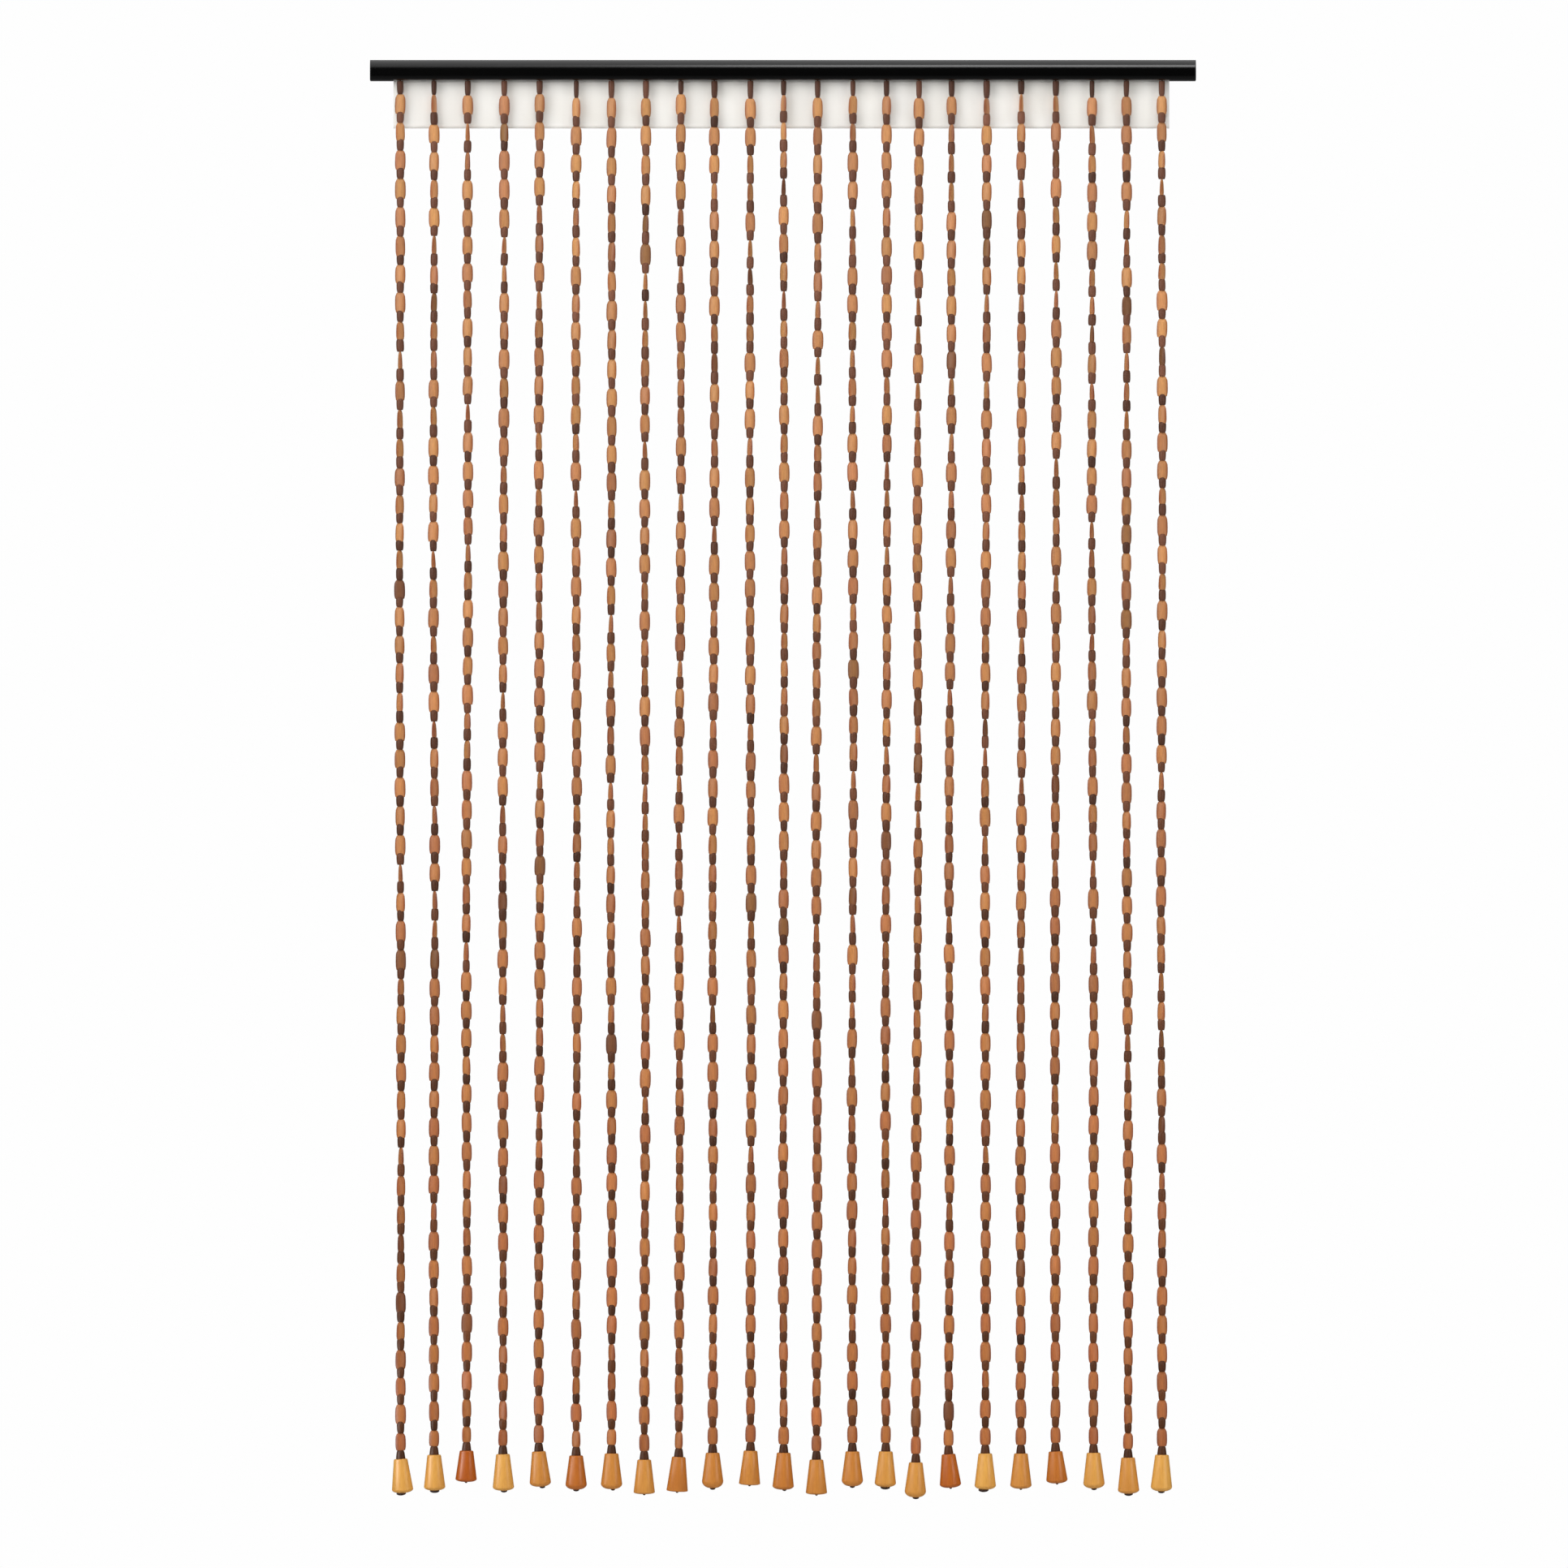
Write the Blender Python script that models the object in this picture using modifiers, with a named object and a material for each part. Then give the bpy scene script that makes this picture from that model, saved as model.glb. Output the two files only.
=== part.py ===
"""Bead curtain with its rail: 23 strings of wooden beads, each ending in a turned cone.

Metres, +Z up, front towards -Y. The origin is the middle of the rail's flat back face.
"""
import math
import random
from collections import namedtuple

import bmesh
import bpy
from mathutils import Matrix, Vector

MM = 0.001
GAP = 0.3 * MM
WELD = 0.01 * MM
SMOOTH_ANGLE = math.radians(35)

# Rail: a channel with a large round at the top of its front and a small one at the bottom
RAIL_LENGTH = 1200 * MM
RAIL_HEIGHT = 30 * MM
RAIL_DEPTH = 30 * MM
RAIL_WALL = 1.8 * MM
TOP_ROUND = 15 * MM
TOP_ROUND_STEPS = 5
BOTTOM_ROUND = 7 * MM
BOTTOM_ROUND_STEPS = 3
SLOT_BACK = -6 * MM
SLOT_FRONT = -19.5 * MM
CAP_FLANGE = 1.5 * MM
CAP_PLUG = 10 * MM
CAP_FUSE = 0.5 * MM

# Carrier: a strip in two lengths that lies on the lips of the slot, inside the rail
CARRIER_HALF_LENGTH = 583 * MM
CARRIER_BACK = -3 * MM
CARRIER_FRONT = -22 * MM
CARRIER_THICKNESS = 3 * MM
LAST_STRING_ON_THE_LEFT = 11

# Heading band: a tape that hangs behind the top of the strings
BAND_LEFT = -566.3 * MM
BAND_RIGHT = 561.6 * MM
BAND_BACK = SLOT_BACK - GAP
BAND_THICKNESS = 1.2 * MM
BAND_FOOT = -84 * MM

# Strings: a long top bead, light and dark beads by turns, then a flared collar
STRING_PITCH = 50.31 * MM
FIRST_STRING = -556.3 * MM
STRING_DEPTH = -16.5 * MM
LIGHT_BEADS = 48
DARK_BEADS = 47
LIGHT_HALF_WIDTH = 7.7 * MM
LIGHT_HALF_THICKNESS = 3.0 * MM
DARK_RADIUS = 5.5 * MM
LIGHT_LENGTH = 24.3 * MM
DARK_LENGTH = 17 * MM
LENGTH_SPREAD = 0.07
GIRTH_SPREAD = 0.05
TURN_LIMITS = (math.radians(90), math.radians(50))
FACE_ON_BIASES = (1.6, 2.2)
CALMING = 3.0
FACE_ON_LIMIT = math.radians(50)
NESTING = 2.4 * MM
TOP_BEAD_LENGTHS = (19 * MM, 26 * MM)
TOP_BEAD_RADIUS = 4.4 * MM
TOP_BEAD_SHOULDER = 3.9 * MM
TOP_BEAD_GIRTHS = (0.8, 1.1)
COLLAR_LENGTH = 12.2 * MM
COLLAR_TOP_RADIUS = 5.4 * MM
COLLAR_FOOT_RADIUS = 7.0 * MM
CORD_RADIUS = 1.0 * MM
CORD_STEP = 0.1 * MM
KNOT_LEAST_HEIGHT = 0.8 * MM
KNOT_SLENDERNESS = 0.18
SWAY = 1.2 * MM
SWAY_HALF_WAVES = (1.5, 3.5)
SEED = 2300

# A string's three corners, as shares of its half widths: its full width in front, a ridge behind
CORNERS = ((-1.0, -0.6), (1.0, -0.6), (0.0, 1.0))

# End weights: a cone with an eased top edge, a domed base and a bore for the cord
WEIGHT_SIDES = 8
WEIGHT_TOP_RADIUS = 8.6 * MM
WEIGHT_NECK_RADIUS = 10.1 * MM
WEIGHT_NECK = 2.0 * MM
WEIGHT_FOOT_RADIUS = 15.5 * MM
WEIGHT_FLAT_RADIUS = 3.0 * MM
DOME_STEPS = 2
BORE_RADIUS = 1.7 * MM

# One row a string, in millimetres and degrees, from the left. nudge: root's distance from the
# even pitch. foot: how far the foot of the string drifts sideways. drop: rail's underside to the
# top of the weight. cone: the weight's length. lean: the weight's tilt, its foot to the right.
# base: how deep the weight's base is domed. knot: the width of the knot under it.
String = namedtuple("String", "nudge foot drop cone lean base knot")
STRINGS = (
    String(0.0, 0.6, 2003, 49.6, 3.7, 5.4, 14.0),
    String(-1.2, 0.2, 1997, 51.9, 0.9, 5.4, 14.0),
    String(-2.4, -1.8, 1991, 45.4, -0.9, 4.2, 4.0),
    String(0.3, -2.0, 1996, 53.1, 0.9, 5.4, 9.6),
    String(1.4, -1.2, 1992, 51.4, 2.8, 6.6, 8.4),
    String(4.4, -0.2, 1998, 49.6, 0.0, 7.8, 9.0),
    String(5.1, 0.2, 1995, 51.9, 0.0, 7.8, 6.3),
    String(5.0, -2.5, 2004, 50.2, 0.0, 3.0, 4.0),
    String(5.6, -3.2, 2000, 50.8, -2.8, 1.8, 4.0),
    String(3.9, -2.6, 1994, 51.4, 0.0, 10.2, 8.3),
    String(5.9, 0.2, 1991, 50.2, -1.8, 2.4, 4.0),
    String(3.8, 0.1, 1994, 53.7, -0.9, 5.4, 5.8),
    String(3.0, -1.8, 2004, 50.8, 0.0, 3.0, 4.0),
    String(4.0, -0.9, 1992, 50.8, 0.0, 9.0, 7.7),
    String(2.5, -1.1, 1992, 51.9, -0.9, 6.0, 14.0),
    String(-0.6, -4.7, 2008, 50.8, -0.9, 9.0, 9.6),
    String(-3.5, -4.6, 1996, 49.0, 3.7, 5.4, 4.0),
    String(-3.0, -2.0, 1995, 52.5, 0.0, 6.0, 15.0),
    String(-3.0, -0.5, 1995, 51.4, 0.0, 5.4, 4.0),
    String(-3.0, -0.5, 1992, 46.6, 2.8, 5.4, 4.0),
    String(-0.8, 2.2, 1994, 51.9, 0.9, 7.8, 8.4),
    String(-1.2, 2.5, 2001, 52.5, 0.9, 5.4, 12.6),
    String(0.0, 0.2, 1997, 53.1, -0.9, 6.6, 10.0),
)

# A bead's length, its girth as a share of the usual one, and its turn about the string
Bead = namedtuple("Bead", "length girth turn")

# A section across a string: its middle, half its width along X and along Y, and its tilt
Section = namedtuple("Section", "middle half_x half_y lean")

RAIL_FOOT = -RAIL_HEIGHT / 2
LIP_TOP = RAIL_FOOT + RAIL_WALL
CARRIER_FOOT = LIP_TOP + GAP


def material(name, colour, roughness, metallic=0.0):
    """A plain finish, as linear red, green and blue."""
    finish = bpy.data.materials.new(name)
    finish.use_nodes = True
    shader = finish.node_tree.nodes["Principled BSDF"]
    shader.inputs["Base Color"].default_value = (*colour, 1.0)
    shader.inputs["Roughness"].default_value = roughness
    shader.inputs["Metallic"].default_value = metallic
    return finish


def add_object(name, mesh, finish, collection):
    """An object of the given mesh and finish, in the given collection."""
    part = bpy.data.objects.new(name, mesh)
    mesh.materials.clear()
    mesh.materials.append(finish)
    collection.objects.link(part)
    return part


def add_box(name, low, high, finish, collection):
    """A block between two opposite corners."""
    low, high = Vector(low), Vector(high)
    mesh = bpy.data.meshes.new(name)
    block = bmesh.new()
    bmesh.ops.create_cube(block, size=1.0)
    bmesh.ops.scale(block, vec=high - low, verts=block.verts)
    bmesh.ops.translate(block, vec=(low + high) / 2, verts=block.verts)
    block.to_mesh(mesh)
    block.free()
    return add_object(name, mesh, finish, collection)


def arc(centre, radius, start, end, steps):
    """Points along an arc, both ends included, with angles in degrees from +Y towards +Z."""
    angles = [math.radians(start + (end - start) * step / steps) for step in range(steps + 1)]
    return [(centre[0] + radius * math.cos(a), centre[1] + radius * math.sin(a)) for a in angles]


def rail_section(inset):
    """The rail's outer outline drawn in by an inset: up the back, over the top, down the front."""
    top = RAIL_HEIGHT / 2 - inset
    front = -RAIL_DEPTH
    upper = arc((front + TOP_ROUND, RAIL_HEIGHT / 2 - TOP_ROUND), TOP_ROUND - inset,
                90, 180, TOP_ROUND_STEPS)
    lower = arc((front + BOTTOM_ROUND, RAIL_FOOT + BOTTOM_ROUND), BOTTOM_ROUND - inset,
                180, 270, BOTTOM_ROUND_STEPS)
    return [(-inset, -top), (-inset, top)] + upper + lower


def channel_outline():
    """The rail's closed outline: the outer skin, the slot's front lip, the inner skin, the back lip."""
    outer = rail_section(0.0)
    inner = rail_section(RAIL_WALL)
    front_lip = [(SLOT_FRONT, RAIL_FOOT), (SLOT_FRONT, LIP_TOP)]
    back_lip = [(SLOT_BACK, LIP_TOP), (SLOT_BACK, RAIL_FOOT)]
    return outer + front_lip + inner[::-1] + back_lip


def add_extrusion(name, outline, start, end, finish, collection):
    """A closed outline in Y and Z, filled and drawn out along X from start to end."""
    curve = bpy.data.curves.new(name, "CURVE")
    curve.dimensions = "2D"
    curve.fill_mode = "BOTH"
    curve.extrude = (end - start) / 2
    spline = curve.splines.new("POLY")
    spline.points.add(len(outline) - 1)
    for point, (y, z) in zip(spline.points, outline):
        point.co = (y, z, 0.0, 1.0)
    spline.use_cyclic_u = True
    guide = bpy.data.objects.new(name + "_outline", curve)
    collection.objects.link(guide)
    depsgraph = bpy.context.evaluated_depsgraph_get()
    mesh = bpy.data.meshes.new_from_object(guide.evaluated_get(depsgraph))
    bpy.data.objects.remove(guide)
    bar = bmesh.new()
    bar.from_mesh(mesh)
    bmesh.ops.remove_doubles(bar, verts=bar.verts, dist=WELD)
    turn = Matrix(((0, 0, 1), (1, 0, 0), (0, 1, 0))).to_4x4()
    place = Matrix.Translation(((start + end) / 2, 0, 0)) @ turn
    bmesh.ops.transform(bar, matrix=place, verts=bar.verts)
    bmesh.ops.recalc_face_normals(bar, faces=bar.faces)
    bar.to_mesh(mesh)
    bar.free()
    mesh.name = name
    mesh.shade_smooth()
    mesh.set_sharp_from_angle(angle=SMOOTH_ANGLE)
    return add_object(name, mesh, finish, collection)


def unite(part, other):
    """Joins a guide solid to a part with an exact Boolean union."""
    other.hide_render = True
    other.display_type = "WIRE"
    join = part.modifiers.new("union_" + other.name, "BOOLEAN")
    join.operation = "UNION"
    join.solver = "EXACT"
    join.object = other


def add_rail(finish, collection):
    """The channel between its two end caps."""
    half = RAIL_LENGTH / 2 - CAP_FLANGE - GAP
    add_extrusion("rail", channel_outline(), -half, half, finish, collection)


def add_end_cap(name, side, finish, collection, guides):
    """A flange with the rail's outline, and a plug that fits the channel."""
    end = side * RAIL_LENGTH / 2
    face = end - side * CAP_FLANGE
    plug_end = face - side * CAP_PLUG
    fused = face + side * CAP_FUSE
    flange = add_extrusion(name, rail_section(0.0), min(end, face), max(end, face), finish, collection)
    plug = add_extrusion(name + "_plug", rail_section(RAIL_WALL + GAP),
                         min(plug_end, fused), max(plug_end, fused), finish, guides)
    unite(flange, plug)


def add_band(finish, collection):
    """The tape behind the strings, from the carrier's underside down."""
    add_box("heading_band", (BAND_LEFT, BAND_BACK - BAND_THICKNESS, BAND_FOOT),
            (BAND_RIGHT, BAND_BACK, CARRIER_FOOT - GAP), finish, collection)


def root_x(index):
    """Where a string leaves the rail."""
    return FIRST_STRING + index * STRING_PITCH + STRINGS[index].nudge * MM


def string_x(index, share, sway):
    """A string's place along X at a share of its drop: a slight drift and a soft sway."""
    drift = STRINGS[index].foot * MM * share
    wave = math.sin(math.pi * share) * math.sin(math.pi * sway[0] * share + sway[1])
    return root_x(index) + drift + SWAY * wave


def draw_turn(draw, share):
    """A bead's turn about its string at a share of its length: lower beads face the front more."""
    calm = share ** CALMING
    limit = TURN_LIMITS[0] + (TURN_LIMITS[1] - TURN_LIMITS[0]) * calm
    bias = FACE_ON_BIASES[0] + (FACE_ON_BIASES[1] - FACE_ON_BIASES[0]) * calm
    return draw.choice((-1, 1)) * limit * draw.random() ** bias


def draw_string(index):
    """A string's sway, its top bead's length and girth, and its beads, light and dark by turns."""
    draw = random.Random(SEED + index)
    sway = (draw.uniform(*SWAY_HALF_WAVES), draw.uniform(0.0, math.tau))
    top_length = draw.uniform(*TOP_BEAD_LENGTHS)
    top_girth = draw.uniform(*TOP_BEAD_GIRTHS)
    count = LIGHT_BEADS + DARK_BEADS
    turns = [draw_turn(draw, place / count) for place in range(count)]
    girths = [draw.uniform(1 - GIRTH_SPREAD, 1 + GIRTH_SPREAD) for place in range(count)]
    lengths = [LIGHT_LENGTH if place % 2 == 0 else DARK_LENGTH for place in range(count)]
    lengths = [length * draw.uniform(1 - LENGTH_SPREAD, 1 + LENGTH_SPREAD) for length in lengths]
    nest(lengths, turns)
    room = STRINGS[index].drop * MM - top_length - COLLAR_LENGTH - 2 * GAP
    fit = room / sum(lengths)
    beads = [Bead(*bead) for bead in zip([length * fit for length in lengths], girths, turns)]
    return sway, top_length, top_girth, beads


def nest(lengths, turns):
    """A light bead that faces the front takes in the head of the dark bead below it."""
    for place in range(0, len(lengths) - 1, 2):
        if abs(turns[place]) < FACE_ON_LIMIT:
            lengths[place] += NESTING
            lengths[place + 1] -= NESTING


def bead_halves(place, bead):
    """Half a bead's width along X and along Y: a flat light bead at its turn, or a round dark one."""
    if place % 2 == 1:
        return DARK_RADIUS * bead.girth, DARK_RADIUS * bead.girth
    wide = LIGHT_HALF_WIDTH * bead.girth
    thin = LIGHT_HALF_THICKNESS * bead.girth
    half_x = math.hypot(wide * math.cos(bead.turn), thin * math.sin(bead.turn))
    half_y = math.hypot(wide * math.sin(bead.turn), thin * math.cos(bead.turn))
    return half_x, half_y


def string_sections(index):
    """Every section of one string, from its root in the carrier down to the knot."""
    row = STRINGS[index]
    sway, top_length, top_girth, beads = draw_string(index)
    drop = row.drop * MM
    top = RAIL_FOOT - GAP
    weight_top = RAIL_FOOT - drop

    def upright(z, half_x, half_y):
        share = min(max((RAIL_FOOT - z) / drop, 0.0), 1.0)
        return Section(Vector((string_x(index, share, sway), STRING_DEPTH, z)), half_x, half_y, 0.0)

    sections = [
        upright(CARRIER_FOOT + CARRIER_THICKNESS / 2, CORD_RADIUS, CORD_RADIUS),
        upright(top + CORD_STEP, CORD_RADIUS, CORD_RADIUS),
        upright(top, TOP_BEAD_SHOULDER * top_girth, TOP_BEAD_SHOULDER * top_girth),
        upright(top - top_length / 2, TOP_BEAD_RADIUS * top_girth, TOP_BEAD_RADIUS * top_girth),
    ]
    z = top - top_length
    for place, bead in enumerate(beads):
        sections.append(upright(z - bead.length / 2, *bead_halves(place, bead)))
        z -= bead.length
    collar_top = weight_top + GAP + COLLAR_LENGTH
    sections.append(upright(collar_top, COLLAR_TOP_RADIUS, COLLAR_TOP_RADIUS))
    return sections + foot_sections(row, upright(weight_top, 0, 0).middle)


def knot_height(row):
    """How far a knot stands out below the weight: a wide one is a flatter coil."""
    return KNOT_LEAST_HEIGHT + KNOT_SLENDERNESS * row.knot * MM


def foot_sections(row, weight_top):
    """The collar's foot, seated on the tilted weight, the cord along its bore, and the knot."""
    lean = math.radians(row.lean)
    axis = Vector((math.sin(lean), 0.0, -math.cos(lean)))
    base = row.cone * MM + GAP
    rings = (
        (-GAP - CORD_STEP, COLLAR_FOOT_RADIUS),
        (-GAP, CORD_RADIUS),
        (base, CORD_RADIUS),
        (base + CORD_STEP, row.knot / 2 * MM),
        (base + knot_height(row), row.knot / 2 * MM),
    )
    return [Section(weight_top + axis * along, radius, radius, lean) for along, radius in rings]


def add_ring(string, section):
    """Three points around a string: two at the front that give its width, and one behind."""
    across = Vector((math.cos(section.lean), 0.0, math.sin(section.lean)))
    return [string.verts.new(section.middle + across * (u * section.half_x)
                             + Vector((0.0, v * section.half_y, 0.0))) for u, v in CORNERS]


def loft_string(string, index):
    """Lofts one closed string between its unlike sections."""
    rings = [add_ring(string, section) for section in string_sections(index)]
    for upper, lower in zip(rings, rings[1:]):
        for side in range(len(upper)):
            after = (side + 1) % len(upper)
            string.faces.new((upper[side], lower[side], lower[after], upper[after]))
    string.faces.new(rings[0])
    string.faces.new(rings[-1][::-1])


def add_strings(name, indices, left, right, finish, collection, guides):
    """A length of carrier strip with its strings fused to it at their roots."""
    mesh = bpy.data.meshes.new(name + "_strands")
    strands = bmesh.new()
    for index in indices:
        loft_string(strands, index)
    bmesh.ops.triangulate(strands, faces=strands.faces)
    bmesh.ops.recalc_face_normals(strands, faces=strands.faces)
    strands.to_mesh(mesh)
    strands.free()
    guide = add_object(name + "_strands", mesh, finish, guides)
    strip = add_box(name, (left, CARRIER_FRONT, CARRIER_FOOT),
                    (right, CARRIER_BACK, CARRIER_FOOT + CARRIER_THICKNESS), finish, collection)
    unite(strip, guide)


def dome(length, depth, steps):
    """A cone's rounded base, from its widest ring down to the small flat around its bore."""
    angles = [math.pi / 2 * step / steps for step in range(steps + 1)]
    across = WEIGHT_FOOT_RADIUS - WEIGHT_FLAT_RADIUS
    return [(WEIGHT_FLAT_RADIUS + across * math.cos(a), depth - length - depth * math.sin(a)) for a in angles]


def weight_profile(row):
    """Half the weight's section from its axis: down the outer side, over the dome, up the bore."""
    length = row.cone * MM
    top = [(BORE_RADIUS, 0.0), (WEIGHT_TOP_RADIUS, 0.0), (WEIGHT_NECK_RADIUS, -WEIGHT_NECK)]
    return top + dome(length, row.base * MM, DOME_STEPS) + [(BORE_RADIUS, -length)]


def add_weight(index, finish, collection):
    """A turned cone, hung by its top and tilted as its string leaves it."""
    row = STRINGS[index]
    name = f"end_weight_{index + 1:02d}"
    mesh = bpy.data.meshes.new(name)
    outline = bmesh.new()
    points = [outline.verts.new((radius, 0.0, z)) for radius, z in weight_profile(row)]
    for start, end in zip(points, points[1:] + points[:1]):
        outline.edges.new((start, end))
    outline.to_mesh(mesh)
    outline.free()
    weight = add_object(name, mesh, finish, collection)
    turn = weight.modifiers.new("turning", "SCREW")
    turn.steps = WEIGHT_SIDES
    turn.render_steps = WEIGHT_SIDES
    turn.use_merge_vertices = True
    turn.merge_threshold = WELD
    weight.location = (root_x(index) + row.foot * MM, STRING_DEPTH, RAIL_FOOT - row.drop * MM)
    weight.rotation_euler = (0.0, -math.radians(row.lean), 0.0)


def build():
    """Clears the scene and builds every piece of the curtain."""
    for old in list(bpy.data.objects):
        bpy.data.objects.remove(old)
    curtain = bpy.data.collections.new("bead_curtain")
    guides = bpy.data.collections.new("bead_curtain_guides")
    for collection in (curtain, guides):
        bpy.context.scene.collection.children.link(collection)

    black_paint = material("black_paint", (0.006, 0.006, 0.007), 0.28)
    black_plastic = material("black_plastic", (0.008, 0.008, 0.009), 0.4)
    white_tape = material("white_tape", (0.86, 0.85, 0.82), 0.9)
    bead_wood = material("bead_wood", (0.32, 0.15, 0.07), 0.45)
    cone_wood = material("cone_wood", (0.6, 0.3, 0.09), 0.4)

    add_rail(black_paint, curtain)
    add_end_cap("end_cap_left", -1, black_plastic, curtain, guides)
    add_end_cap("end_cap_right", 1, black_plastic, curtain, guides)
    add_band(white_tape, curtain)
    join_x = (root_x(LAST_STRING_ON_THE_LEFT) + root_x(LAST_STRING_ON_THE_LEFT + 1)) / 2
    left = range(LAST_STRING_ON_THE_LEFT + 1)
    right = range(LAST_STRING_ON_THE_LEFT + 1, len(STRINGS))
    add_strings("strings_left", left, -CARRIER_HALF_LENGTH, join_x - GAP / 2,
                bead_wood, curtain, guides)
    add_strings("strings_right", right, join_x + GAP / 2, CARRIER_HALF_LENGTH,
                bead_wood, curtain, guides)
    for index in range(len(STRINGS)):
        add_weight(index, cone_wood, curtain)


build()
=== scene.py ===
"""Looks of the bead curtain: wooden beads on 23 cords, turned cones, a painted rail and its tape.

Metres, +Z up, front towards -Y. The origin is the middle of the rail's flat back face.
"""
import math
import random
from collections import namedtuple

import bmesh
import bpy
from mathutils import Matrix, Vector


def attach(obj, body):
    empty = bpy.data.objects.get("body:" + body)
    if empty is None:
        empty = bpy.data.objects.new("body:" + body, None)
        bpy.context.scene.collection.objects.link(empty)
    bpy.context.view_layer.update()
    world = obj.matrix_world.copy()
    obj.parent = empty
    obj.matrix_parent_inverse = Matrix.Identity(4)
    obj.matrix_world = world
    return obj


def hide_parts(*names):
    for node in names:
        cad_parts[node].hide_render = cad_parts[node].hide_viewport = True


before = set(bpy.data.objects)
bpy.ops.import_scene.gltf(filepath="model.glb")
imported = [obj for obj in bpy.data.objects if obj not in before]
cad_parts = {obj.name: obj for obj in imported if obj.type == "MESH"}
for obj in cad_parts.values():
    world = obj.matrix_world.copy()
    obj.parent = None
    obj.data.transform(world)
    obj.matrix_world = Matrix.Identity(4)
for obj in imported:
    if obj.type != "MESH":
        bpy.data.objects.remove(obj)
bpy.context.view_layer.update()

MM = 0.001

# The sizes below repeat those of the part's source, so that each piece lies where its solid is.
GAP = 0.3 * MM
RAIL_LENGTH = 1200 * MM
RAIL_HEIGHT = 30 * MM
RAIL_DEPTH = 30 * MM
RAIL_WALL = 1.8 * MM
TOP_ROUND = 15 * MM
BOTTOM_ROUND = 7 * MM
SLOT_BACK = -6 * MM
SLOT_FRONT = -19.5 * MM
CAP_FLANGE = 1.5 * MM
CAP_PLUG = 10 * MM
CARRIER_HALF_LENGTH = 583 * MM
CARRIER_BACK = -3 * MM
CARRIER_FRONT = -22 * MM
CARRIER_THICKNESS = 3 * MM
LAST_STRING_ON_THE_LEFT = 11
BAND_LEFT = -566.3 * MM
BAND_RIGHT = 561.6 * MM
BAND_BACK = SLOT_BACK - GAP
BAND_THICKNESS = 1.2 * MM
BAND_FOOT = -84 * MM
STRING_PITCH = 50.31 * MM
FIRST_STRING = -556.3 * MM
STRING_DEPTH = -16.5 * MM
LIGHT_BEADS = 48
DARK_BEADS = 47
LIGHT_HALF_WIDTH = 7.7 * MM
LIGHT_HALF_THICKNESS = 3.0 * MM
DARK_RADIUS = 5.5 * MM
LIGHT_LENGTH = 24.3 * MM
DARK_LENGTH = 17 * MM
LENGTH_SPREAD = 0.07
GIRTH_SPREAD = 0.05
TURN_LIMITS = (math.radians(90), math.radians(50))
FACE_ON_BIASES = (1.6, 2.2)
CALMING = 3.0
FACE_ON_LIMIT = math.radians(50)
NESTING = 2.4 * MM
TOP_BEAD_LENGTHS = (19 * MM, 26 * MM)
TOP_BEAD_RADIUS = 4.4 * MM
TOP_BEAD_GIRTHS = (0.8, 1.1)
COLLAR_LENGTH = 12.2 * MM
COLLAR_TOP_RADIUS = 5.4 * MM
COLLAR_FOOT_RADIUS = 7.0 * MM
CORD_RADIUS = 1.0 * MM
KNOT_LEAST_HEIGHT = 0.8 * MM
KNOT_SLENDERNESS = 0.18
SWAY = 1.2 * MM
SWAY_HALF_WAVES = (1.5, 3.5)
SEED = 2300
WEIGHT_NECK_RADIUS = 10.1 * MM
WEIGHT_NECK = 2.0 * MM
WEIGHT_FOOT_RADIUS = 15.5 * MM
WEIGHT_FLAT_RADIUS = 3.0 * MM
BORE_RADIUS = 1.7 * MM
RAIL_FOOT = -RAIL_HEIGHT / 2
LIP_TOP = RAIL_FOOT + RAIL_WALL
CARRIER_FOOT = LIP_TOP + GAP

# Scene only: how finely the pieces are drawn, and what is too small for the solids
ARC_STEPS = 14
LIP_STEPS = 6
CAP_EDGE_ROUND = 0.5 * MM
CARRIER_EDGE_ROUND = 0.6 * MM
BEAD_SIDES = 12
BEAD_RINGS = 8
DARK_SIDES = 10
DARK_RINGS = 8
BEAD_TILT = math.radians(1.6)
# How closely the painted shade keeps to a bead's side edges
EDGE_SHADE_POWER = 2.5
NESTED_HEAD = 1.4 * MM
NESTED_FOOT = 1.8 * MM
TOUCH = 0.02 * MM
CORD_SIDES = 6
CORD_STEP = 24 * MM
CONE_SIDES = 48
TOP_EDGE_ROUND = 1.8 * MM
TOP_EDGE_STEPS = 4
DOME_STEPS = 9
KNOT_SIDES = 14
KNOT_STEPS = 8
KNOT_SINK = 0.8 * MM
KNOT_SEAT = math.radians(62)
KNOT_END = math.radians(172)
TAPE_THICKNESS = 0.8 * MM
TAPE_COLUMNS = 226
TAPE_ROWS = 14
TAPE_RIPPLE = 0.15 * MM
LONG_RIPPLE = 38
SHORT_RIPPLE = 91
SHORT_RIPPLE_SHARE = 0.6
SHORT_RIPPLE_START = 1.3
SCENE_SEED = 71
SHARP_ANGLE = math.radians(38)
WAVE_RADIANS_PER_UNIT = 20

# How deep each piece takes its stain, where 1 is usual and less is darker; a few light beads are
# deep ones. The grain values only set one piece's pattern apart from the next one's.
LIGHT_TONE_SPREAD = 0.08
LIGHT_TONE_LIMITS = (0.35, 1.35)
DARK_TONE_SPREAD = 0.2
DARK_TONE_LIMITS = (0.5, 1.5)
DEEP_SHARE = 0.035
DEEP_TONES = (0.4, 0.6)
TOP_BEAD_TONES = (0.4, 1.0)
COLLAR_TONES = (0.6, 0.9)
GRAIN_RANGE = 60.0
CONE_GRAIN_STEP = 7.3
HONEY = "e6ac52"
ORANGE_BROWN = "b65c12"

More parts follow.
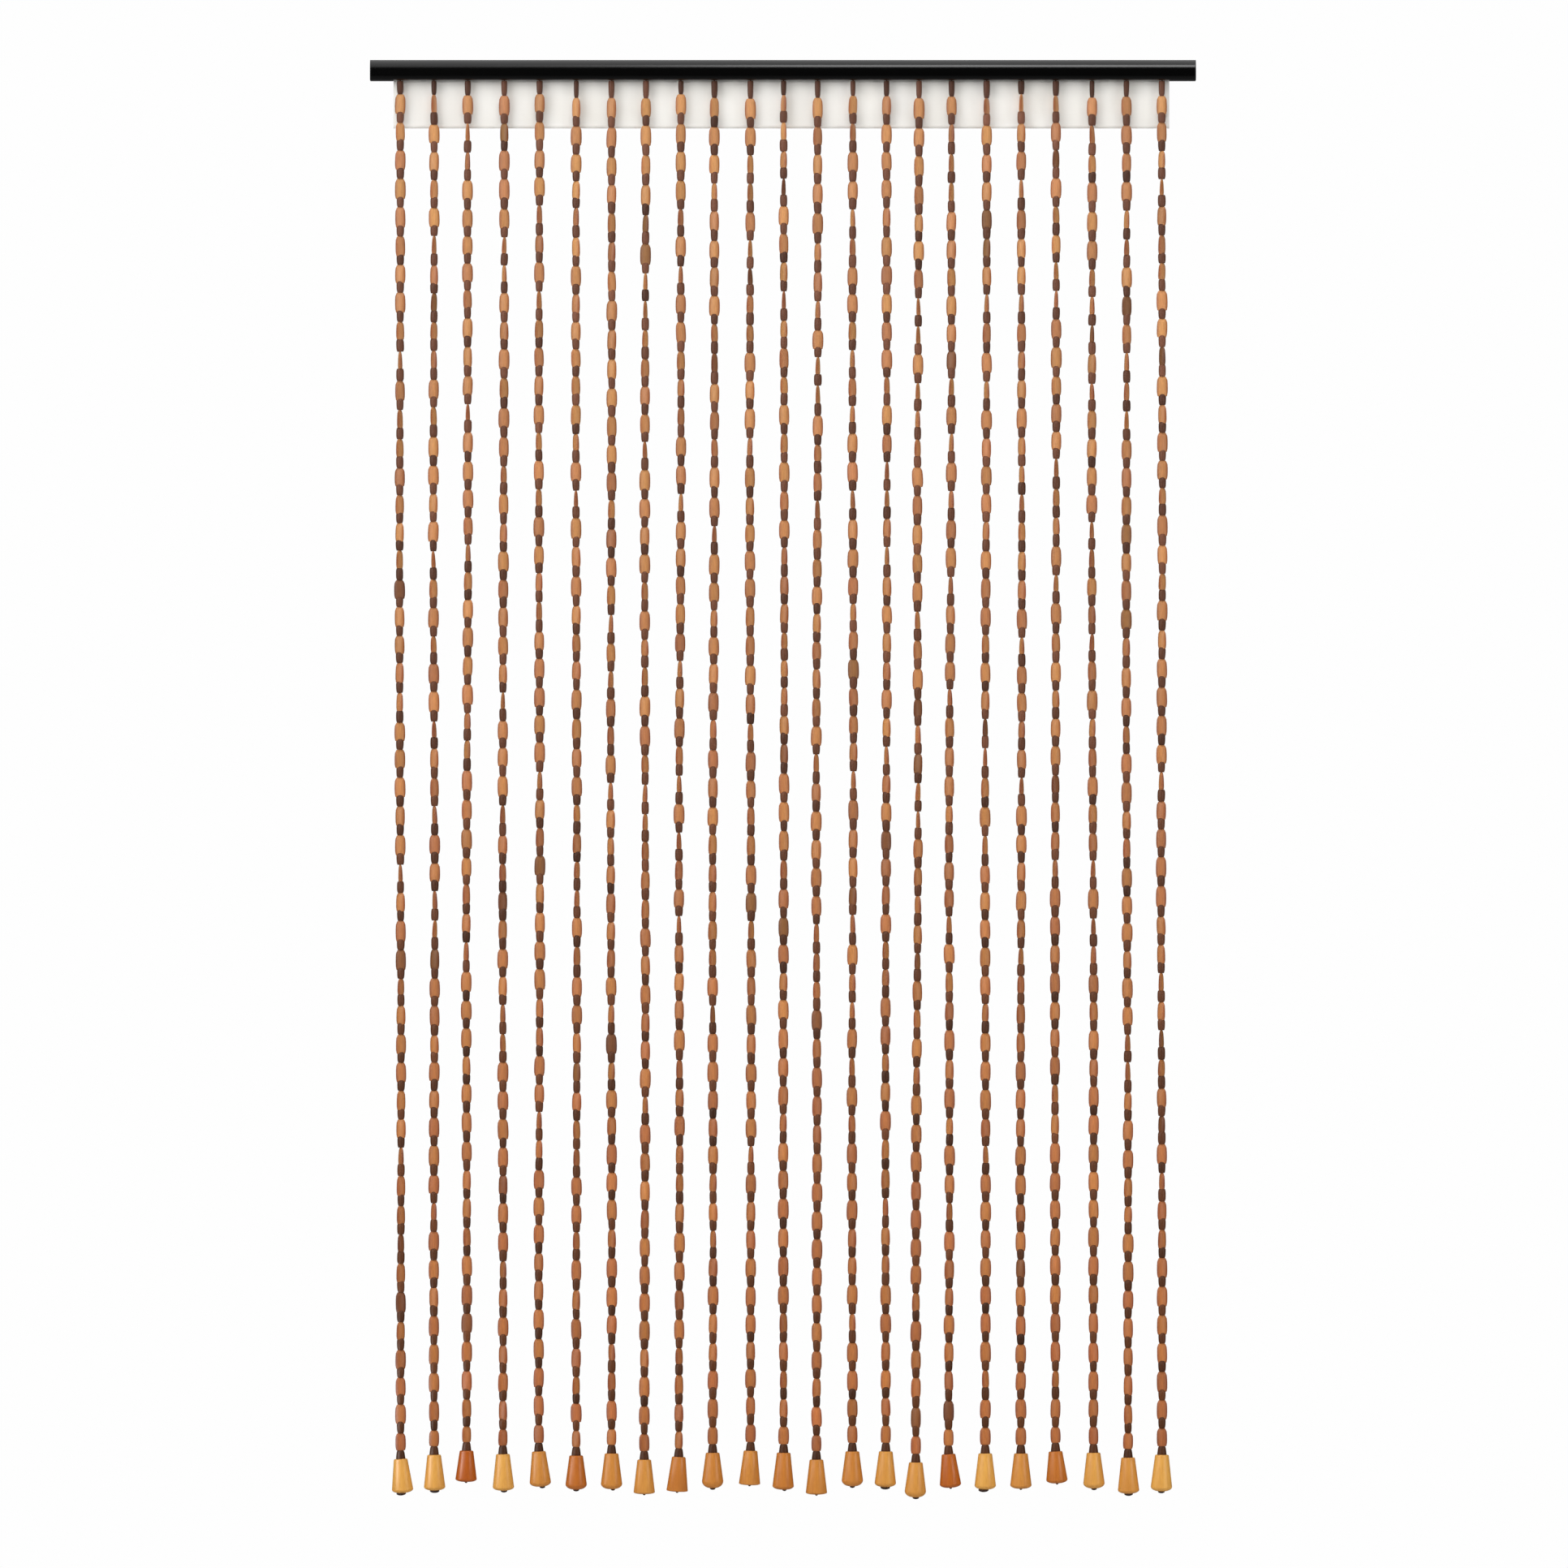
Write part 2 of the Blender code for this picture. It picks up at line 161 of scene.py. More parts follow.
# One row a string, in millimetres and degrees, from the left. nudge: root's distance from the
# even pitch. foot: how far the foot of the string drifts sideways. drop: rail's underside to the
# top of the cone. cone: the cone's length. lean: the cone's tilt, its foot to the right.
# base: how deep the cone's base is domed. knot: the width of the knot under it. stain: how deep
# the cone's colour is, from 0 for honey to 1 for orange brown. slip: how far right the knot sits.
String = namedtuple("String", "nudge foot drop cone lean base knot stain slip")
STRINGS = (
    String(0.0, 0.6, 2003, 49.6, 3.7, 5.4, 14.0, 0.05, -2.3),
    String(-1.2, 0.2, 1997, 51.9, 0.9, 5.4, 14.0, 0.10, 0.0),
    String(-2.4, -1.8, 1991, 45.4, -0.9, 4.2, 4.0, 1.00, 0.0),
    String(0.3, -2.0, 1996, 53.1, 0.9, 5.4, 9.6, 0.10, 0.8),
    String(1.4, -1.2, 1992, 51.4, 2.8, 6.6, 8.4, 0.50, 2.7),
    String(4.4, -0.2, 1998, 49.6, 0.0, 7.8, 9.0, 0.85, 0.0),
    String(5.1, 0.2, 1995, 51.9, 0.0, 7.8, 6.3, 0.55, 2.0),
    String(5.0, -2.5, 2004, 50.2, 0.0, 3.0, 4.0, 0.40, 0.0),
    String(5.6, -3.2, 2000, 50.8, -2.8, 1.8, 4.0, 0.70, 0.0),
    String(3.9, -2.6, 1994, 51.4, 0.0, 10.2, 8.3, 0.60, 0.0),
    String(5.9, 0.2, 1991, 50.2, -1.8, 2.4, 4.0, 0.55, 0.0),
    String(3.8, 0.1, 1994, 53.7, -0.9, 5.4, 5.8, 0.70, 2.0),
    String(3.0, -1.8, 2004, 50.8, 0.0, 3.0, 4.0, 0.55, 0.0),
    String(4.0, -0.9, 1992, 50.8, 0.0, 9.0, 7.7, 0.60, 0.0),
    String(2.5, -1.1, 1992, 51.9, -0.9, 6.0, 14.0, 0.30, 0.0),
    String(-0.6, -4.7, 2008, 50.8, -0.9, 9.0, 9.6, 0.30, 0.8),
    String(-3.5, -4.6, 1996, 49.0, 3.7, 5.4, 4.0, 0.95, 0.0),
    String(-3.0, -2.0, 1995, 52.5, 0.0, 6.0, 15.0, 0.05, -2.5),
    String(-3.0, -0.5, 1995, 51.4, 0.0, 5.4, 4.0, 0.50, 0.0),
    String(-3.0, -0.5, 1992, 46.6, 2.8, 5.4, 4.0, 0.80, 0.0),
    String(-0.8, 2.2, 1994, 51.9, 0.9, 7.8, 8.4, 0.20, 0.0),
    String(-1.2, 2.5, 2001, 52.5, 0.9, 5.4, 12.6, 0.40, 0.0),
    String(0.0, 0.2, 1997, 53.1, -0.9, 6.6, 10.0, 0.00, 0.0),
)

# A bead's length, its girth as a share of the usual one, and its turn about the string
Bead = namedtuple("Bead", "length girth turn")

# A bead as it is placed: which form it has, its middle, its half width, half thickness and length,
# its rotation, its share of the drop, and its stain (tone, warmth) and grain
Threaded = namedtuple("Threaded", "form middle size spin drop tone warmth grain")

# The outline of a form: its width at the top and at the foot as shares of its full width, how late
# its sides turn in there, how square its section is (2 is an ellipse), how much wider it is at the
# foot than at the middle, and how much thicker on top of that
Form = namedtuple("Form", "top foot top_corner foot_corner section flare wedge")
LIGHT_FORMS = (Form(0.56, 0.80, 4.8, 3.6, 2.1, 0.03, 0.2),)
BARREL, NESTED, TOP_BEAD, COLLAR = range(4)
DARK_FORMS = (
    Form(0.78, 0.76, 4.6, 4.0, 2.0, 0.0, 0.0),
    Form(0.58, 0.80, 5.4, 3.8, 2.0, -0.05, 0.0),
    Form(0.88, 0.72, 6.0, 4.0, 2.0, -0.05, 0.0),
    Form(0.82, 0.97, 5.0, 8.0, 2.0, 0.129, 0.0),
)


# Nodes and materials

def linear(colour):
    """A colour written as sRGB hex, such as "c28a55", as linear red, green, blue and alpha."""
    channels = [int(colour[at:at + 2], 16) / 255 for at in (0, 2, 4)]
    return (*[c / 12.92 if c <= 0.04045 else ((c + 0.055) / 1.055) ** 2.4 for c in channels], 1.0)


def fill_sockets(tree, node, inputs):
    """Fills a node's sockets, named or in order, with values or links; a node gives its first output."""
    sockets = [socket for socket in node.inputs if socket.enabled]
    for key, value in inputs.items() if isinstance(inputs, dict) else enumerate(inputs):
        socket = sockets[key] if isinstance(key, int) else next(s for s in sockets if s.name == key)
        if isinstance(value, bpy.types.Node):
            value = next(s for s in value.outputs if s.enabled)
        if isinstance(value, bpy.types.NodeSocket):
            tree.links.new(value, socket)
        else:
            socket.default_value = value


def add_node(tree, kind, inputs=(), **settings):
    """Adds a node with its settings and its inputs."""
    node = tree.nodes.new(kind)
    for name, value in settings.items():
        setattr(node, name, value)
    fill_sockets(tree, node, inputs)
    return node


def new_material(name):
    """A material with nothing but its shader, which is returned with its node tree."""
    material = bpy.data.materials.new(name)
    material.use_nodes = True
    return material, material.node_tree, material.node_tree.nodes["Principled BSDF"]


def stretched_noise(tree, across, along, detail, seed=0.0):
    """Noise on object coordinates, in metres across and along Z; the seed sets each bead apart."""
    place = add_node(tree, "ShaderNodeTexCoord")
    scaled = add_node(tree, "ShaderNodeMapping", {
        "Vector": place.outputs["Object"],
        "Scale": (1 / across, 1 / across, 1 / along),
    })
    return add_node(tree, "ShaderNodeTexNoise", {
        "Vector": scaled, "W": seed, "Scale": 1.0, "Detail": detail, "Roughness": 0.55,
    }, noise_dimensions="4D")


def stained_bead_wood(name, lit_top_colours, shaded_foot_colours, edge_shade_colour, sheen):
    """Lime or pine beads, turned, dipped in stain and tumbled with wax.

    The dip takes unevenly, so each bead has its own depth of colour. Down the string the colour
    is painted darker and warmer, as painted light from above, and the thin edges of a flat bead
    are painted darker as painted shade. Fibres run along the bead, 1 mm apart and about 12 mm
    long, coarser than real lime so that they show. The wax leaves a soft broad sheen.
    """
    material, tree, shader = new_material(name)
    read = {field: add_node(tree, "ShaderNodeAttribute", attribute_name=field).outputs["Fac"]
            for field in ("tone", "warmth", "drop", "grain", "edge")}
    levels = [add_node(tree, "ShaderNodeMix", (read["warmth"], linear(cool), linear(warm)), data_type="RGBA")
              for cool, warm in (lit_top_colours, shaded_foot_colours)]
    # Painted light from above: the beads run from the lighter top colours down to the darker, warmer foot
    # colours.
    stain = add_node(tree, "ShaderNodeMix", (read["drop"], *levels), data_type="RGBA")
    # Painted shade: near a light bead's side edges its colour is multiplied darker; the dark beads multiply
    # by white and keep their colour.
    deep = add_node(tree, "ShaderNodeMix", (1.0, stain, linear(edge_shade_colour)),
                    data_type="RGBA", blend_type="MULTIPLY")
    edge_shaded = add_node(tree, "ShaderNodeMix", (read["edge"], stain, deep), data_type="RGBA")
    fibres = stretched_noise(tree, 1.0 * MM, 12 * MM, 2.0, read["grain"])
    streak = add_node(tree, "ShaderNodeMapRange", (fibres, 0.3, 0.7, 0.86, 1.1))
    strength = add_node(tree, "ShaderNodeMath", (read["tone"], streak), operation="MULTIPLY")
    fill_sockets(tree, shader, {
        "Base Color": add_node(tree, "ShaderNodeVectorMath", (edge_shaded, strength), operation="SCALE"),
        "Roughness": 0.5,
        "Specular IOR Level": sheen,
        "Normal": add_node(tree, "ShaderNodeBump", {
            "Strength": 0.35, "Distance": 0.15 * MM, "Height": fibres,
        }),
    })
    return material


def waxed_beech():
    """Beech turned on a lathe, stained from honey to orange brown, waxed.

    The grain runs along the cone as fine darker streaks 1.5 mm apart, over broad soft bands of the
    board's colour. Turning leaves a smooth skin with a mild gloss.
    """
    material, tree, shader = new_material("waxed_beech")
    stain = add_node(tree, "ShaderNodeAttribute", attribute_name="tone").outputs["Fac"]
    grain = add_node(tree, "ShaderNodeAttribute", attribute_name="grain").outputs["Fac"]
    colour = add_node(tree, "ShaderNodeMix", (stain, linear(HONEY), linear(ORANGE_BROWN)), data_type="RGBA")
    streaks = stretched_noise(tree, 1.5 * MM, 40 * MM, 3.0, grain)
    bands = stretched_noise(tree, 9 * MM, 120 * MM, 1.0, grain)
    for pattern, low, high, tint in ((streaks, 0.42, 0.72, "c9a58c"), (bands, 0.35, 0.65, "dcbfa0")):
        share = add_node(tree, "ShaderNodeMapRange", (pattern, low, high, 0.0, 0.25))
        deeper = add_node(tree, "ShaderNodeMix", (1.0, colour, linear(tint)),
                          data_type="RGBA", blend_type="MULTIPLY")
        colour = add_node(tree, "ShaderNodeMix", (share, colour, deeper), data_type="RGBA")
    fill_sockets(tree, shader, {
        "Base Color": colour,
        "Roughness": 0.36,
        "Specular IOR Level": 0.4,
        "Normal": add_node(tree, "ShaderNodeBump", {
            "Strength": 0.25, "Distance": 0.1 * MM, "Height": streaks,
        }),
    })
    return material


def black_powder_coat():
    """Extruded aluminium under a semi-gloss black powder coat.

    The coat flows into a faint orange peel of about 1.5 mm, which softens the edge of the long
    highlight and leaves the colour a deep even black.
    """
    material, tree, shader = new_material("black_powder_coat")
    peel = stretched_noise(tree, 1.5 * MM, 1.5 * MM, 1.0)
    fill_sockets(tree, shader, {
        "Base Color": linear("020202"),
        "Roughness": 0.2,
        "IOR": 1.5,
        "Normal": add_node(tree, "ShaderNodeBump", {"Strength": 0.06, "Distance": 0.05 * MM, "Height": peel}),
    })
    return material


def moulded_black_abs():
    """ABS end caps, injection moulded in a spark-eroded mould.

    A fine grit of 0.6 mm dulls the black a little against the painted rail.
    """
    material, tree, shader = new_material("moulded_black_abs")
    grit = stretched_noise(tree, 0.6 * MM, 0.6 * MM, 2.0)
    share = add_node(tree, "ShaderNodeMapRange", (grit, 0.3, 0.7, 0.0, 1.0))
    fill_sockets(tree, shader, {
        "Base Color": add_node(tree, "ShaderNodeMix", (share, linear("0c0c0d"), linear("141415")),
                               data_type="RGBA"),
        "Roughness": 0.38,
        "IOR": 1.54,
        "Normal": add_node(tree, "ShaderNodeBump", {"Strength": 0.2, "Distance": 0.05 * MM, "Height": grit}),
    })
    return material


def extruded_black_pvc():
    """The rigid PVC strip that carries the strings.

    Draw lines 1.2 mm apart run along its length and break up the dull black.
    """
    material, tree, shader = new_material("extruded_black_pvc")
    place = add_node(tree, "ShaderNodeTexCoord")
    scaled = add_node(tree, "ShaderNodeMapping", {
        "Vector": place.outputs["Object"],
        "Scale": (1 / (80 * MM), 1 / (1.2 * MM), 1 / (1.2 * MM)),
    })
    lines = add_node(tree, "ShaderNodeTexNoise", {"Vector": scaled, "Scale": 1.0, "Detail": 1.0})
    fill_sockets(tree, shader, {
        "Base Color": add_node(tree, "ShaderNodeMix", (lines, linear("19191a"), linear("262627")),
                               data_type="RGBA"),
        "Roughness": 0.5,
        "IOR": 1.53,
    })
    return material


def woven_cotton_tape():
    """Off-white cotton tape in plain weave, pressed flat.

    The threads lie 1.4 mm apart here, twice as coarse as the real tape's, so that the weave shows
    in a close view. The cloth is matt, with a faint fuzz; soft patches are painted a little darker
    and warmer as painted shade of shallow folds, and the gaps between the threads are painted
    darker as painted shade in the weave's hollows.
    """
    material, tree, shader = new_material("woven_cotton_tape")
    place = add_node(tree, "ShaderNodeTexCoord")
    threads = [add_node(tree, "ShaderNodeTexWave", {
        "Vector": place.outputs["Object"],
        "Scale": math.tau / WAVE_RADIANS_PER_UNIT / (1.4 * MM),
        "Distortion": 0.6,
        "Detail": 1.0,
        "Detail Scale": 1.5,
    }, bands_direction=axis).outputs["Fac"] for axis in ("X", "Z")]
    weave = add_node(tree, "ShaderNodeMath", threads, operation="MAXIMUM")
    crumple = stretched_noise(tree, 60 * MM, 90 * MM, 2.0)
    # Painted shade: soft patches a little darker and warmer stand in for shallow folds.
    crease_shade = add_node(tree, "ShaderNodeMapRange", (crumple, 0.3, 0.7, 0.0, 1.0))
    cloth = add_node(tree, "ShaderNodeMix", (crease_shade, linear("f4f3ef"), linear("efede7")), data_type="RGBA")
    # Painted shade: the cloth is multiplied darker between the threads, in the weave's hollows.
    weave_shade = add_node(tree, "ShaderNodeMapRange", (weave, 0.0, 0.6, 0.6, 0.0))
    shaded_cloth = add_node(tree, "ShaderNodeMix", (1.0, cloth, linear("f0eeea")),
                   data_type="RGBA", blend_type="MULTIPLY")
    fill_sockets(tree, shader, {
        "Base Color": add_node(tree, "ShaderNodeMix", (weave_shade, cloth, shaded_cloth), data_type="RGBA"),
        "Roughness": 0.9,
        "Sheen Weight": 0.15,
        "Sheen Roughness": 0.5,
        "Normal": add_node(tree, "ShaderNodeBump", {"Strength": 0.4, "Distance": 0.12 * MM, "Height": weave}),
    })
    return material


def braided_brown_cord():
    """Waxed polyester cord, braided, 2 mm thick.

    The braid's slant repeats every 2.4 mm, a little coarser than the real one so that it shows.
    """
    material, tree, shader = new_material("braided_brown_cord")
    place = add_node(tree, "ShaderNodeTexCoord")
    slant = add_node(tree, "ShaderNodeMapping", {
        "Vector": place.outputs["Object"],
        "Rotation": (0.0, math.radians(35), 0.0),
    })
    braid = add_node(tree, "ShaderNodeTexWave", {
        "Vector": slant,
        "Scale": math.tau / WAVE_RADIANS_PER_UNIT / (2.4 * MM),
        "Distortion": 0.8,
    }, bands_direction="Z").outputs["Fac"]
    fill_sockets(tree, shader, {
        "Base Color": add_node(tree, "ShaderNodeMix", (braid, linear("2c1a12"), linear("4a2f22")),
                               data_type="RGBA"),
        "Roughness": 0.7,
        "Normal": add_node(tree, "ShaderNodeBump", {"Strength": 0.6, "Distance": 0.2 * MM, "Height": braid}),
    })
    return material


def pale_floor_paint():
    """A matt pale floor, with a very faint roller texture 12 mm across."""
    material, tree, shader = new_material("pale_floor_paint")
    roller = stretched_noise(tree, 12 * MM, 12 * MM, 2.0)
    fill_sockets(tree, shader, {
        "Base Color": add_node(tree, "ShaderNodeMix", (roller, linear("ecebe9"), linear("f0efed")),
                               data_type="RGBA"),
        "Roughness": 0.85,
    })
    return material


# Meshes

def add_piece(name, mesh, material, slot, *nodes):
    """Shows a mesh as a piece of the curtain, in place of the CAD nodes it stands for."""
    piece = bpy.data.objects.new(name, mesh)
    mesh.materials.clear()
    mesh.materials.append(material)
    bpy.context.scene.collection.objects.link(piece)
    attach(piece, "root")
    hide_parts(*nodes)
    return piece


def smooth(mesh):
    """Smooth shading with the edges past the sharp angle kept crisp."""
    mesh.shade_smooth()
    mesh.set_sharp_from_angle(angle=SHARP_ANGLE)
    return mesh


def arc(centre, radius, start, end, steps):
    """Points along an arc, both ends included, with angles in degrees from +Y towards +Z."""
    angles = [math.radians(start + (end - start) * step / steps) for step in range(steps + 1)]
    return [(centre[0] + radius * math.cos(a), centre[1] + radius * math.sin(a)) for a in angles]


def rail_section(inset):
    """The rail's outer outline drawn in by an inset: up the back, over the top, down the front."""
    top = RAIL_HEIGHT / 2 - inset
    front = -RAIL_DEPTH
    upper = arc((front + TOP_ROUND, RAIL_HEIGHT / 2 - TOP_ROUND), TOP_ROUND - inset, 90, 180, ARC_STEPS)
    lower = arc((front + BOTTOM_ROUND, RAIL_FOOT + BOTTOM_ROUND), BOTTOM_ROUND - inset, 180, 270, ARC_STEPS)
    return [(-inset, -top), (-inset, top)] + upper + lower


def channel_outline():
    """The rail's closed outline: outer skin, the slot's rounded front lip, inner skin, back lip."""
    lip = RAIL_WALL / 2
    front_lip = arc((SLOT_FRONT - lip, RAIL_FOOT + lip), lip, -90, 90, LIP_STEPS)
    back_lip = arc((SLOT_BACK + lip, RAIL_FOOT + lip), lip, 90, 270, LIP_STEPS)
    return rail_section(0.0) + front_lip + rail_section(RAIL_WALL)[::-1] + back_lip


def extrude_along_x(bar, outline, start, end):
    """Adds a closed outline in Y and Z, drawn out along X, to a bmesh; returns its end faces."""
    rings = [[bar.verts.new((x, y, z)) for y, z in outline] for x in (start, end)]
    for here in range(len(outline)):
        after = (here + 1) % len(outline)
        bar.faces.new((rings[0][here], rings[0][after], rings[1][after], rings[1][here]))
    ends = [bar.faces.new(rings[0]), bar.faces.new(rings[1][::-1])]
    return ends


def to_mesh(shape, name):
    """Finishes a bmesh: faces outward, smooth but for sharp edges."""
    bmesh.ops.recalc_face_normals(shape, faces=shape.faces)
    mesh = bpy.data.meshes.new(name)
    shape.to_mesh(mesh)
    shape.free()
    return smooth(mesh)


def add_rail(paint):
    """The channel, with smooth rounds and rolled lips at its slot, its ends against the caps."""
    half = RAIL_LENGTH / 2 - CAP_FLANGE - TOUCH
    bar = bmesh.new()
    extrude_along_x(bar, channel_outline(), -half, half)
    bmesh.ops.triangulate(bar, faces=[face for face in bar.faces if len(face.verts) > 4])
    add_piece("rail_channel", to_mesh(bar, "rail_channel"), paint, "rail_paint", "rail")


def add_end_cap(side, plastic):
    """A flange with a rounded rim on the rail's outline, and its plug inside the channel."""
    word = "left" if side < 0 else "right"
    end = side * RAIL_LENGTH / 2
    face = end - side * CAP_FLANGE
    cap = bmesh.new()
    flange = extrude_along_x(cap, rail_section(0.0), face, end)
    outer = flange[1]
    bmesh.ops.bevel(cap, geom=list(outer.edges), offset=CAP_EDGE_ROUND, segments=3, profile=0.5,
                    affect="EDGES", clamp_overlap=True)
    extrude_along_x(cap, rail_section(RAIL_WALL + GAP), face - side * CAP_PLUG, face + side * GAP)
    add_piece("rail_cap_" + word, to_mesh(cap, "rail_cap_" + word), plastic, "cap_plastic", "end_cap_" + word)


def add_carrier(word, left, right, plastic):
    """The strip that lies on the slot's lips inside the rail and carries the strings."""
    strip = bmesh.new()
    bmesh.ops.create_cube(strip, size=1.0)
    size = Vector((right - left, CARRIER_BACK - CARRIER_FRONT, CARRIER_THICKNESS))
    middle = Vector(((left + right) / 2, (CARRIER_BACK + CARRIER_FRONT) / 2,
                     CARRIER_FOOT + CARRIER_THICKNESS / 2))
    bmesh.ops.scale(strip, vec=size, verts=strip.verts)
    bmesh.ops.translate(strip, vec=middle, verts=strip.verts)
    bmesh.ops.bevel(strip, geom=list(strip.edges), offset=CARRIER_EDGE_ROUND, segments=2, profile=0.5,
                    affect="EDGES")
    add_piece("carrier_" + word, to_mesh(strip, "carrier_" + word), plastic,
              "carrier_plastic", "strings_" + word)


def add_tape(cotton):
    """The heading tape: a thin cloth with a soft ripple that grows towards its foot."""
    top = CARRIER_FOOT - GAP
    middle = BAND_BACK - BAND_THICKNESS / 2
    cloth = bmesh.new()
    grid = []
    for row in range(TAPE_ROWS + 1):
        hang = row / TAPE_ROWS
        z = top + (BAND_FOOT - top) * row / TAPE_ROWS
        line = []
        for column in range(TAPE_COLUMNS + 1):
            x = BAND_LEFT + (BAND_RIGHT - BAND_LEFT) * column / TAPE_COLUMNS
            short = SHORT_RIPPLE_SHARE * math.sin(x * SHORT_RIPPLE + SHORT_RIPPLE_START)
            ripple = TAPE_RIPPLE * hang * (math.sin(x * LONG_RIPPLE) + short)
            line.append(cloth.verts.new((x, middle + ripple, z)))
        grid.append(line)
    for upper, lower in zip(grid, grid[1:]):
        for column in range(TAPE_COLUMNS):
            cloth.faces.new((upper[column], lower[column], lower[column + 1], upper[column + 1]))
    mesh = to_mesh(cloth, "heading_tape")
    tape = add_piece("heading_tape", mesh, cotton, "band_tape", "heading_band")
    wall = tape.modifiers.new("thickness", "SOLIDIFY")
    wall.thickness = TAPE_THICKNESS
    wall.offset = 0.0


# Strings of beads

def root_x(index):
    """Where a string leaves the rail."""
    return FIRST_STRING + index * STRING_PITCH + STRINGS[index].nudge * MM


def string_x(index, share, sway):
    """A string's place along X at a share of its drop: a slight drift and a soft sway."""
    drift = STRINGS[index].foot * MM * share
    wave = math.sin(math.pi * share) * math.sin(math.pi * sway[0] * share + sway[1])
    return root_x(index) + drift + SWAY * wave


def nest(lengths, turns):
    """A light bead that faces the front takes in the head of the dark bead below it."""
    for place in range(0, len(lengths) - 1, 2):
        if abs(turns[place]) < FACE_ON_LIMIT:
            lengths[place] += NESTING
            lengths[place + 1] -= NESTING


def draw_turn(draw, share):
    """A bead's turn about its string at a share of its length: lower beads face the front more."""
    calm = share ** CALMING
    limit = TURN_LIMITS[0] + (TURN_LIMITS[1] - TURN_LIMITS[0]) * calm
    bias = FACE_ON_BIASES[0] + (FACE_ON_BIASES[1] - FACE_ON_BIASES[0]) * calm
    return draw.choice((-1, 1)) * limit * draw.random() ** bias


def draw_string(index):
    """A string's sway, its top bead's length and girth, and its beads, light and dark by turns."""
    draw = random.Random(SEED + index)
    sway = (draw.uniform(*SWAY_HALF_WAVES), draw.uniform(0.0, math.tau))
    top_length = draw.uniform(*TOP_BEAD_LENGTHS)
    top_girth = draw.uniform(*TOP_BEAD_GIRTHS)
    count = LIGHT_BEADS + DARK_BEADS
    turns = [draw_turn(draw, place / count) for place in range(count)]
    girths = [draw.uniform(1 - GIRTH_SPREAD, 1 + GIRTH_SPREAD) for place in range(count)]
    lengths = [LIGHT_LENGTH if place % 2 == 0 else DARK_LENGTH for place in range(count)]
    lengths = [length * draw.uniform(1 - LENGTH_SPREAD, 1 + LENGTH_SPREAD) for length in lengths]
    nest(lengths, turns)
    room = STRINGS[index].drop * MM - top_length - COLLAR_LENGTH - 2 * GAP
    fit = room / sum(lengths)
    beads = [Bead(*bead) for bead in zip([length * fit for length in lengths], girths, turns)]
    return sway, top_length, top_girth, beads


def clamp(value, limits):
    """The value, or the limit that it passes."""
    return min(max(value, limits[0]), limits[1])


def place_beads(index):
    """Every bead of one string as it hangs: its light ones and its dark ones."""
    row = STRINGS[index]
    sway, top_length, top_girth, beads = draw_string(index)
    stain = random.Random(SCENE_SEED + index)
    drop = row.drop * MM
    light, dark = [], []

    def thread(into, form, high, low, half_width, half_thickness, turn, tilt, tone):
        middle_z = (high + low) / 2
        share = clamp((RAIL_FOOT - middle_z) / drop, (0.0, 1.0))
        spin = (Matrix.Rotation(tilt, 3, "Y") @ Matrix.Rotation(turn, 3, "Z")).to_euler()
        middle = (string_x(index, share, sway), STRING_DEPTH, middle_z)
        into.append(Threaded(form, middle, (half_width, half_thickness, high - low), tuple(spin),
                             share, tone, stain.random(), stain.uniform(0.0, GRAIN_RANGE)))

    high = RAIL_FOOT - GAP
    low = high - top_length
    radius = TOP_BEAD_RADIUS * top_girth
    thread(dark, TOP_BEAD, high, low, radius, radius, 0.0, 0.0, stain.uniform(*TOP_BEAD_TONES))
    frontal = 0.0
    for place, bead in enumerate(beads):
        high, low = low, low - bead.length
        tilt = stain.gauss(0.0, BEAD_TILT / 2)
        if place % 2 == 0:
            frontal = max(1 - abs(bead.turn) / FACE_ON_LIMIT, 0.0)
            deep = stain.random() <= DEEP_SHARE
            tone = stain.uniform(*DEEP_TONES) if deep else stain.gauss(1.0, LIGHT_TONE_SPREAD)
            last = place == len(beads) - 1
            foot = low if last else low - NESTED_FOOT * frontal
            thread(light, 0, high, foot, LIGHT_HALF_WIDTH * bead.girth, LIGHT_HALF_THICKNESS * bead.girth,
                   bead.turn, tilt, clamp(tone, LIGHT_TONE_LIMITS))
        else:
            radius = DARK_RADIUS * bead.girth
            form = NESTED if frontal > 0 else BARREL
            head = high + NESTED_HEAD if frontal > 0 else high
            tone = clamp(stain.gauss(1.0, DARK_TONE_SPREAD), DARK_TONE_LIMITS)
            thread(dark, form, head, low, radius, radius, bead.turn, tilt, tone)
    lean = math.radians(row.lean)
    radius = (COLLAR_TOP_RADIUS + COLLAR_FOOT_RADIUS) / 2
    tone = stain.uniform(*COLLAR_TONES)
    thread(dark, COLLAR, low, low - COLLAR_LENGTH - GAP + TOUCH, radius, radius, 0.0, -lean / 2, tone)
    return light, dark


def points_mesh(name, beads):
    """One point a bead, which carries the bead's form, size, rotation and stain."""
    mesh = bpy.data.meshes.new(name)
    mesh.from_pydata([bead.middle for bead in beads], [], [])
    kinds = {"form": "INT", "drop": "FLOAT", "tone": "FLOAT", "warmth": "FLOAT", "grain": "FLOAT"}
    for field, kind in kinds.items():
        values = mesh.attributes.new(field, kind, "POINT")
        values.data.foreach_set("value", [getattr(bead, field) for bead in beads])
    for field in ("size", "spin"):
        values = mesh.attributes.new(field, "FLOAT_VECTOR", "POINT")
        values.data.foreach_set("vector", [number for bead in beads for number in getattr(bead, field)])
    return mesh


